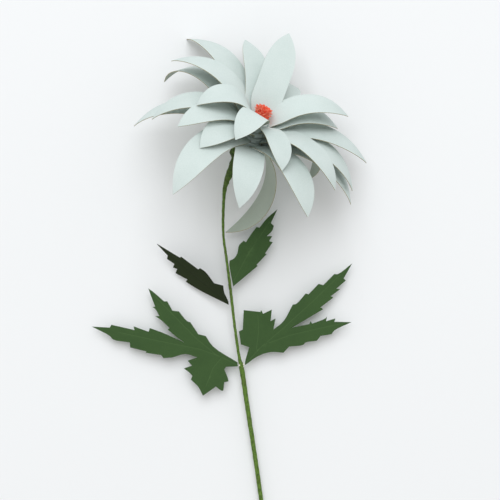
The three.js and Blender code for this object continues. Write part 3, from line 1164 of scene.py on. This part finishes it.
@dataclass
class CutLeaf:
    """A leaf of card, cut to a toothed outline, scored along its veins and bent a little."""

    name: str
    node: str
    outline: tuple[Pixel, ...]
    veins: tuple[tuple[Pixel, ...], ...]
    root: Pixel
    height: float
    rise: float
    sag: float
    tip: Pixel = (0.0, 0.0)
    turn: float = 0.0
    # Whether the leaf takes the darker copy of its card, which is painted shade.
    in_painted_shade: bool = False
    thickness: float = 0.36
    grid: float = 2.2
    score_width: float = 0.5
    score_depth: float = 0.07

    SMOOTH_BEND = 38.0
    EDGE_SHARES = (0, 0.25, 0.5, 0.75)
    CLEAR_OF_VEINS = 0.7
    FILL_INSIDE = 1
    SAME_POINT = 1e-4
    SLOPE_STEP = 0.05

    def build(self, plane: PhotoPlane, materials: list[Material]) -> Piece:
        """Builds the leaf.

        Args:
            plane: The plane of the photograph.
            materials: The card's materials, in the order of Face.

        Returns:
            The leaf's piece.
        """
        edge = self._edge(plane)
        veins = []
        for vein in self.veins:
            veins.append(self._dense([plane.point(pixel, self.height)[:2] for pixel in vein]))
        flat, faces, loop = self._fill(edge, veins)
        depth = self._score(flat, veins)
        shell = Shell()
        tops = np.array([[x, y, self._level(plane, x, y)] for x, y in flat])
        normals = self._normals(plane, flat)
        half = normals * self.thickness / 2
        cut_in = normals * (self.score_depth * depth)[:, None]
        upper = shell.add_points(tops + half - cut_in, depth)
        lower = shell.add_points(tops - half - cut_in)
        for face in faces:
            shell.add_face(tuple(upper + k for k in face))
            shell.add_face(tuple(lower + k for k in reversed(face)), Face.BACK)
        for here, there in zip(loop, loop[1:] + loop[:1]):
            shell.add_face((upper + there, upper + here, lower + here, lower + there), Face.CUT)
        return settle(shell.make(self.name, materials, mark="score"), "leaf_card", self.node)

    def _edge(self, plane: PhotoPlane) -> np.ndarray:
        """Runs the outline through its corners, curved where it bends a little and sharp at the teeth.

        Args:
            plane: The plane of the photograph.

        Returns:
            The outline's points in millimetres, anticlockwise.
        """
        corners = [plane.point(pixel, self.height)[:2] for pixel in self.outline]
        count = len(corners)
        bends = []
        for k in range(count):
            one, two = corners[k] - corners[k - 1], corners[(k + 1) % count] - corners[k]
            turn = math.degrees(math.atan2(one[0] * two[1] - one[1] * two[0], one @ two))
            bends.append(abs(turn))
        edge: list[np.ndarray] = []
        for k in range(count):
            start, end = corners[k], corners[(k + 1) % count]
            before = corners[k - 1] if bends[k] < self.SMOOTH_BEND else 2 * start - end
            soft_end = bends[(k + 1) % count] < self.SMOOTH_BEND
            after = corners[(k + 2) % count] if soft_end else 2 * end - start
            edge += [centripetal([before, start, end, after], 1, share) for share in self.EDGE_SHARES]
        if signed_area(edge) < 0:
            edge.reverse()
        return np.array(edge)

    def _dense(self, line: list[np.ndarray]) -> np.ndarray:
        """Fills a vein's line with points a few millimetres apart.

        Args:
            line: The line's corners.

        Returns:
            The points.
        """
        made: list[np.ndarray] = []
        for start, end in zip(line, line[1:]):
            parts = max(1, round(np.linalg.norm(end - start) / self.grid))
            made += [start + (end - start) * k / parts for k in range(parts)]
        return np.array(made + [line[-1]])

    def _fill(self, edge: np.ndarray, veins: list[np.ndarray]) -> tuple:
        """Fills the outline with triangles that follow the veins and a grid.

        Args:
            edge: The outline, anticlockwise.
            veins: The veins' lines.

        Returns:
            The points, the triangles, and the outline as point numbers.
        """
        points = [tuple(point) for point in edge]
        lines = [(k, (k + 1) % len(edge)) for k in range(len(edge))]
        for vein in veins:
            for shift in (-self.score_width / 2, 0, self.score_width / 2):
                points += [tuple(point) for point in beside(vein, shift)]
        low, high = edge.min(axis=0), edge.max(axis=0)
        for x in np.arange(low[0], high[0], self.grid):
            for y in np.arange(low[1], high[1], self.grid):
                nearest = min(np.min(np.hypot(*(vein - (x, y)).T)) for vein in veins)
                if nearest > self.grid * self.CLEAR_OF_VEINS:
                    points.append((x, y))
        corners = [Vector(point) for point in points]
        result = delaunay_2d_cdt(corners, lines, [], self.FILL_INSIDE, self.SAME_POINT)
        made, faces, origin = result[0], result[2], result[3]
        flat = np.array([(point.x, point.y) for point in made])
        place = {first: k for k, firsts in enumerate(origin) for first in firsts}
        loop = [place[k] for k in range(len(edge))]
        used = sorted({k for face in faces for k in face})
        number = {old: new for new, old in enumerate(used)}
        kept = [tuple(number[k] for k in face) for face in faces]
        loop = [number[k] for k in dict.fromkeys(loop)]
        return flat[used], kept, loop

    def _score(self, flat: np.ndarray, veins: list[np.ndarray]) -> np.ndarray:
        """Finds how deep in a scored vein each point is.

        Args:
            flat: The points, seen from above.
            veins: The veins' lines.

        Returns:
            The depth of each point, from 0 to 1.
        """
        depth = np.zeros(len(flat))
        for vein in veins:
            for start, end in zip(vein, vein[1:]):
                line = end - start
                share = np.clip(((flat - start) @ line) / (line @ line), 0, 1)
                away = np.hypot(*(flat - start - np.outer(share, line)).T)
                depth = np.maximum(depth, np.clip(1 - away / (self.score_width / 2), 0, 1))
        return depth

    def _level(self, plane: PhotoPlane, x: float, y: float) -> float:
        """Finds how high the card's middle stands at a place.

        Args:
            plane: The plane of the photograph.
            x: The place to the right, in millimetres.
            y: The place along the stem, in millimetres.

        Returns:
            The height over the surface.
        """
        root = plane.point(self.root, self.height)
        away = math.hypot(x - root[0], y - root[1])
        level = self.height + self.rise * away - self.sag * away * away
        if not self.turn:
            return level
        line = plane.point(self.tip, self.height) - root
        aside = (line[1] * (x - root[0]) - line[0] * (y - root[1])) / math.hypot(line[0], line[1])
        return level + math.tan(math.radians(self.turn)) * aside

    def _normals(self, plane: PhotoPlane, flat: np.ndarray) -> np.ndarray:
        """Finds the card's normals.

        Args:
            plane: The plane of the photograph.
            flat: The points, seen from above.

        Returns:
            The normal at each point.
        """
        normals = []
        for x, y in flat:
            here = self._level(plane, x, y)
            slope_x = (self._level(plane, x + self.SLOPE_STEP, y) - here) / self.SLOPE_STEP
            slope_y = (self._level(plane, x, y + self.SLOPE_STEP) - here) / self.SLOPE_STEP
            normal = np.array([-slope_x, -slope_y, 1.0])
            normals.append(normal / np.linalg.norm(normal))
        return np.array(normals)


def signed_area(points: list[np.ndarray]) -> float:
    """Twice the area inside a closed line: positive when it runs anticlockwise."""
    return sum(a[0] * b[1] - a[1] * b[0] for a, b in zip(points, points[1:] + points[:1]))


def beside(line: np.ndarray, shift: float) -> np.ndarray:
    """Moves a line sideways by a small distance.

    Args:
        line: The line's points.
        shift: How far to the left of its run.

    Returns:
        The moved points.
    """
    along = np.gradient(line, axis=0)
    along /= np.linalg.norm(along, axis=1)[:, None]
    return line + shift * np.stack([-along[:, 1], along[:, 0]], axis=1)


@dataclass
class GlueBeads:
    """Small dried beads of glue where the lower leaves meet the stem."""

    name: str = "glue_beads"
    beads: tuple[tuple[Pixel, float, float], ...] = (
        ((239.6, 365.2), 7.6, 0.55),
        ((243.6, 364.4), 7.7, 0.5),
        ((243.3, 366.6), 7.3, 0.35),
    )

    ROWS = 9
    SIDES = 14
    FLAT = 0.7
    LONG = 1.25

    def build(self, plane: PhotoPlane, material: Material) -> Piece:
        """Builds the beads.

        Args:
            plane: The plane of the photograph.
            material: The glue's material.

        Returns:
            The beads' piece.
        """
        shell = Shell()
        for pixel, height, radius in self.beads:
            self._add_bead(shell, plane.point(pixel, height), radius)
        return settle(shell.make(self.name, [material]), "stem_tape")

    def _add_bead(self, shell: Shell, centre: np.ndarray, radius: float) -> None:
        """Adds one bead, a ball that is a little flat.

        Args:
            shell: The mesh in the making.
            centre: The bead's centre.
            radius: Its radius across the stem.
        """
        high = np.array([0, 0, self.FLAT * radius])
        top = shell.add_points(np.array([centre + high]))
        bottom = shell.add_points(np.array([centre - high]))
        rings = []
        for row in range(1, self.ROWS):
            down = math.pi * row / self.ROWS
            wide, level = radius * math.sin(down), centre + high * math.cos(down)
            angles = [2 * math.pi * k / self.SIDES for k in range(self.SIDES)]
            ring = [level + (wide * math.cos(a), self.LONG * wide * math.sin(a), 0) for a in angles]
            rings.append(shell.add_points(np.array(ring)))
        for k in range(self.SIDES):
            after = (k + 1) % self.SIDES
            shell.add_face((top, rings[0] + k, rings[0] + after))
            shell.add_face((bottom, rings[-1] + after, rings[-1] + k))
        for here, there in zip(rings, rings[1:]):
            shell.add_band(there, here, self.SIDES)


# The studio


@dataclass
class SoftLight:
    """A square soft light: where it stands, what it points at, its side in metres and its power."""

    name: str
    place: tuple[float, float, float]
    target: tuple[float, float, float]
    side: float
    power: float
    colour: Colour = (1.0, 1.0, 1.0)

    def build(self) -> None:
        """Adds the light."""
        light = bpy.data.lights.new(self.name, "AREA")
        light.size = self.side
        light.energy = self.power
        light.color = self.colour
        thing = bpy.data.objects.new(self.name, light)
        aim = Vector(self.target) - Vector(self.place)
        turn = aim.to_track_quat("-Z", "Y").to_matrix().to_4x4()
        thing.matrix_world = Matrix.Translation(self.place) @ turn
        bpy.context.scene.collection.objects.link(thing)


@dataclass
class Studio:
    """The pale surface, the soft lights and the camera straight above."""

    plane: PhotoPlane
    surface: MottledFinish = MottledFinish(
        name="pale_surface",
        colour=srgb(239, 240, 242),
        roughness=0.95,
        specular=0.05,
        patches_per_metre=3,
        detail=1,
        darkest=0.985,
    )
    floor_side: float = 6.0
    world_colour: Colour = (1.0, 0.99, 0.965)
    world_strength: float = 0.64
    sensor_mm: float = 36.0
    field_mm: float = 300.0
    lights: tuple[SoftLight, ...] = (
        SoftLight("top_light", (-0.1, 1.8, 2.9), (0.0, 0.1, 0.03), 2.8, 74.0, (0.94, 0.98, 1.0)),
    )

    def build(self) -> None:
        """Adds the surface, the world, the lights and the camera."""
        self._floor()
        self._world()
        for light in self.lights:
            light.build()
        self._camera()
        LOG.info("studio: %d lights", len(self.lights))

    def _floor(self) -> None:
        """Adds the pale surface, with a faint unevenness in its tone."""
        half = self.floor_side / 2
        mesh = bpy.data.meshes.new(self.surface.name)
        corners = [(-half, -half, 0), (half, -half, 0), (half, half, 0), (-half, half, 0)]
        mesh.from_pydata(corners, [], [(0, 1, 2, 3)])
        mesh.materials.append(self.surface.material())
        floor = bpy.data.objects.new(self.surface.name, mesh)
        bpy.context.scene.collection.objects.link(floor)

    def _world(self) -> None:
        """Sets the even light from all round."""
        world = bpy.data.worlds.new("studio_world")
        world.use_nodes = True
        background = world.node_tree.nodes["Background"]
        background.inputs["Color"].default_value = (*self.world_colour, 1)
        background.inputs["Strength"].default_value = self.world_strength
        bpy.context.scene.world = world
        bpy.context.scene.view_settings.view_transform = "Standard"

    def _camera(self) -> None:
        """Adds the camera, looking straight down with the bloom at the top of the picture."""
        camera = bpy.data.cameras.new("camera")
        camera.sensor_width = self.sensor_mm
        camera.lens = self.sensor_mm * self.plane.view_height / self.field_mm
        thing = bpy.data.objects.new("camera", camera)
        shift = self.plane.origin_shift
        height = self.plane.heart_height + self.plane.view_height
        thing.location = (shift[0] * MM, shift[1] * MM, height * MM)
        bpy.context.scene.collection.objects.link(thing)
        bpy.context.scene.camera = thing


# The flower's own sizes

RINGS = (
    PetalRing(
        "petals_first_ring",
        "petal_ring_1",
        drop=0.0,
        radius=5.6,
        petals=(
            Petal(31, 68, 99, 58.5),
            Petal(100, 65, 48, 60, wide=19),
            Petal(209.3, 76, 148, 48, lift=0.3),
            Petal(261, 72, 142, 42, wide=16.5, lift=1.5),
            Petal(307.2, 40, 92, 42, wide=16),
        ),
    ),
    PetalRing(
        "petals_second_ring",
        "petal_ring_2",
        drop=3.4,
        radius=5.5,
        petals=(
            Petal(32, 58.3, 94, 53.5),
            Petal(118, 57, 66, 62, wide=17, skew=0.25),
            Petal(166.2, 57.8, 105, 70.3, lift=-0.5),
            Petal(218.5, 44, 106, 53.5),
            Petal(344.7, 31.7, 87, 62.5, wide=18.3, power=1.3),
        ),
    ),
    PetalRing(
        "petals_third_ring",
        "petal_ring_3",
        drop=6.8,
        radius=6.0,
        petals=(
            Petal(21, 39, 76, 74.3),
            Petal(81, 60.5, 91, 56, lift=-0.8),
            Petal(62, 47, 60, 42),
            Petal(141, 51, 89, 86.8, lift=-0.8),
            Petal(195, 43, 120, 67.5, wide=19),
            Petal(241, 48, 110, 47.3),
        ),
    ),
    PetalRing(
        "petals_fourth_ring",
        "petal_ring_4",
        drop=10.2,
        radius=6.5,
        petals=(
            Petal(5, 47, 105, 73.5),
            Petal(239, 27, 106, 71.7, wide=21, skew=0.45),
        ),
    ),
    PetalRing(
        "petals_fifth_ring",
        "petal_ring_5",
        drop=13.6,
        radius=7.0,
        petals=(
            Petal(277.5, 56, 138, 61, wide=18.8, skew=0.37, lift=-4.7),
            Petal(324, 39, 95, 64.8, wide=21.5, lift=0.3),
            Petal(30, 59, 168, 68, lift=-0.6),
            Petal(158, 42.5, 126, 78.5, wide=19.5, power=1.6),
            Petal(184, 28.5, 103, 75),
            Petal(20, -36, 112, 74.5, wide=22, roll=-13, power=1.1),
            Petal(5, 38, 96, 75.5),
        ),
    ),
)

STEM = TapedStem(
    name="wound_tape",
    places=(
        StemPlace((232.8, 151.5), 28.4, 3.7),
        StemPlace((233.1, 158.2), 25.6, 1.9),
        StemPlace((231.9, 164), 23.4, 3.2),
        StemPlace((228.8, 175.5), 19.4, 4.2),
        StemPlace((226.6, 181.5), 17.4, 3.4),
        StemPlace((224.9, 188), 15.5, 2.6),
        StemPlace((223.6, 202), 12.4, 1.8),
        StemPlace((223.4, 235), 9.9, 1.6),
        StemPlace((226.8, 261), 9.2, 1.6),
        StemPlace((230.5, 290), 8.4, 1.8),
        StemPlace((235.2, 330), 7.4, 1.7),
        StemPlace((239, 356), 6.8, 1.8),
        StemPlace((241.6, 368), 6.5, 3.1),
        StemPlace((248, 411), 5.5, 2.9),
        StemPlace((257.4, 473), 4.0, 2.7),
        StemPlace((266, 540), 2.6, 2.6),
        StemPlace((272, 612), 1.3, 2.6),
    ),
)

LEAVES = (
    CutLeaf(
        name="upper_right_leaf",
        node="leaf_upper_right",
        outline=(
            (277.5, 209.2), (270.9, 223.1), (273.8, 225.9), (272.3, 230.5), (266.8, 236.1),
            (272.3, 236.1), (269, 241.1), (272.7, 242.2), (265, 253.6), (266.8, 254),
            (256.6, 264.7), (257.6, 266), (243.7, 277.7), (233.2, 286.4), (229.3, 265),
            (229.6, 260.6), (233.5, 258.8), (237.2, 253.6), (239.1, 245.3), (243.7, 240.7),
            (245.9, 242.2), (251.1, 234.2), (256.6, 226.8), (259.4, 227.7), (266.8, 218.5),
        ),
        veins=(
            ((232.5, 283), (246, 258), (259, 238), (274, 215)),
            ((244, 261.5), (250, 251), (256.5, 240)),
        ),
        root=(230.5, 272),
        height=9,
        rise=0.05,
        sag=0.0016,
    ),
    CutLeaf(
        name="upper_left_leaf",
        node="leaf_upper_left",
        outline=(
            (157.1, 244), (167.8, 255.5), (166.9, 258.8), (174.3, 263.8), (172.8, 267.5),
            (177.1, 268.8), (175.2, 273.1), (187.3, 279.5), (185.4, 281.7), (198.4, 289.7),
            (228.6, 304.6), (228.2, 301.6), (224.3, 292.5), (223.3, 285.4), (214.1, 283.2),
            (205.8, 272.1), (200.2, 268.1), (198.4, 269.4), (181.4, 256.8), (179.9, 257.7),
            (166.9, 249.9),
        ),
        veins=(((226, 301.5), (205, 284.5), (184, 267), (163, 250)),),
        root=(228, 303),
        tip=(157.1, 244),
        height=9,
        rise=0.06,
        sag=0.0009,
        turn=44,
        in_painted_shade=True,
    ),
    CutLeaf(
        name="lower_left_leaf",
        node="leaf_lower_left",
        outline=(
            (91.5, 326.7), (109.6, 327.6), (111.4, 324.8), (134.6, 330), (133.6, 326.3),
            (148.8, 331.7), (149.9, 328), (163.2, 332.8), (174.3, 337.8), (184.5, 342.4),
            (178, 337.8), (167.8, 329.5), (169.7, 328), (161.4, 320.2), (155.3, 316),
            (159.5, 316.1), (155.5, 309.1), (152.5, 306.9), (155.3, 306.7), (151.2, 296.2),
            (148.4, 288.4), (154, 292.5), (164.2, 301.4), (167.3, 301.2), (172.5, 310.6),
            (178.9, 311.3), (187.3, 321.1), (190.4, 322.1), (198.4, 334.1), (205.8, 335.9),
            (213.2, 346.5), (237.6, 362.4), (237.8, 366.4), (226.1, 366.8), (224.3, 369.2),
            (228, 378.5), (228.5, 381.2), (224.3, 382.2), (223.3, 390.5), (221.5, 390.5),
            (215.9, 386.4), (203, 395.5), (198.4, 386.8), (191, 379.4), (192.4, 375.7),
            (190, 372.9), (183.9, 368.3), (191.9, 365.5), (187.8, 360.5), (197.4, 357.2),
            (185.4, 353.9), (172.5, 357.2), (163.6, 358.1), (161.4, 355), (145.7, 352.6),
            (146.6, 351.3), (130.3, 347.4), (129.9, 342.4), (113.3, 339.6), (109.6, 335.9),
        ),
        veins=(
            ((236, 364.5), (222, 357), (200, 349), (160, 341), (120, 332.5)),
            ((216, 354.3), (196, 338), (176, 317.5), (156, 297)),
            ((221, 358), (213, 368), (206, 386)),
        ),
        root=(238, 365),
        height=6.5,
        rise=0.07,
        sag=0.0009,
    ),
    CutLeaf(
        name="lower_right_leaf",
        node="leaf_lower_right",
        outline=(
            (244.9, 363.4), (249.2, 347), (240.9, 344.3), (238.9, 331.4), (242.8, 329.5),
            (243.7, 310), (260.3, 311.9), (261.2, 310), (263.1, 313.7), (271.8, 309.5),
            (270.5, 321.1), (275.5, 318.4), (273.3, 329.5), (283.4, 321.1), (292.7, 304.5),
            (296.4, 303.6), (305.6, 293.4), (308.4, 294.3), (318.6, 283.8), (323.2, 285.1),
            (334.3, 274), (338, 274), (352.4, 263.3), (343.6, 278.6), (345.8, 280.5),
            (336.2, 288.8), (340.2, 289.1), (330.6, 296.2), (333.4, 297.5), (320.4, 307.3),
            (323.2, 309.1), (307.5, 318.4), (291.8, 327.6), (309.3, 323.9), (310.3, 321.1),
            (312.1, 323.5), (325.1, 318.4), (326.9, 316.5), (326, 321.1), (335.2, 318.4),
            (334.3, 321.7), (351.5, 322.1), (334.3, 330.4), (331.5, 334.1), (320.4, 335.9),
            (316.7, 340.6), (305.6, 342.4), (302.9, 344.8), (289, 346.5), (283.4, 352.6),
            (270.5, 352), (257.6, 356.3), (245.4, 365),
        ),
        veins=(
            ((247, 362), (262, 346), (281, 330), (312, 302), (345, 270)),
            ((263, 345), (290, 335), (320, 328), (342, 323.5)),
            ((256, 352.5), (258.5, 332), (258, 316)),
        ),
        root=(244, 365),
        height=6.5,
        rise=0.07,
        sag=0.0009,
    ),
)


class PaperDahlia:
    """The whole flower: five rings of petals, the rolled centre, the stem and the leaves."""

    def __init__(self) -> None:
        """Sets the places and makes the finishes."""
        self.plane = PhotoPlane()
        self.bloom = BloomFrame(self.plane)
        self.finishes = Finishes()

    def build(self) -> None:
        """Builds every piece in order."""
        grain = self.finishes.grain
        petal_card = self.finishes.petal.all(grain)
        for ring in RINGS:
            ring.build(self.bloom, petal_card)
        FringedCentre().build(self.bloom, self.finishes.fringe.all(grain))
        STEM.build(self.plane, self.bloom, self.finishes.tape.material(grain))
        leaf_card = self.finishes.leaf.all(grain)
        shaded_leaf_card = self.finishes.shaded_leaf.all(grain)
        for leaf in LEAVES:
            # The leaf tilted away from the light takes the card with painted shade.
            leaf.build(self.plane, shaded_leaf_card if leaf.in_painted_shade else leaf_card)
        GlueBeads().build(self.plane, self.finishes.glue.material())
        self._dress_wire()

    def _dress_wire(self) -> None:
        """Gives the frame's own wire its finish."""
        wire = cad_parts["stem_wire"]
        wire.data.materials.clear()
        wire.data.materials.append(self.finishes.wire.material())
        LOG.info("stem_wire: the frame's own solid")


def main() -> None:
    """Builds the flower and the studio."""
    logging.basicConfig(level=logging.INFO, format="%(name)s %(message)s")
    PaperDahlia().build()
    Studio(PhotoPlane()).build()


if __name__ == "__main__":
    main()
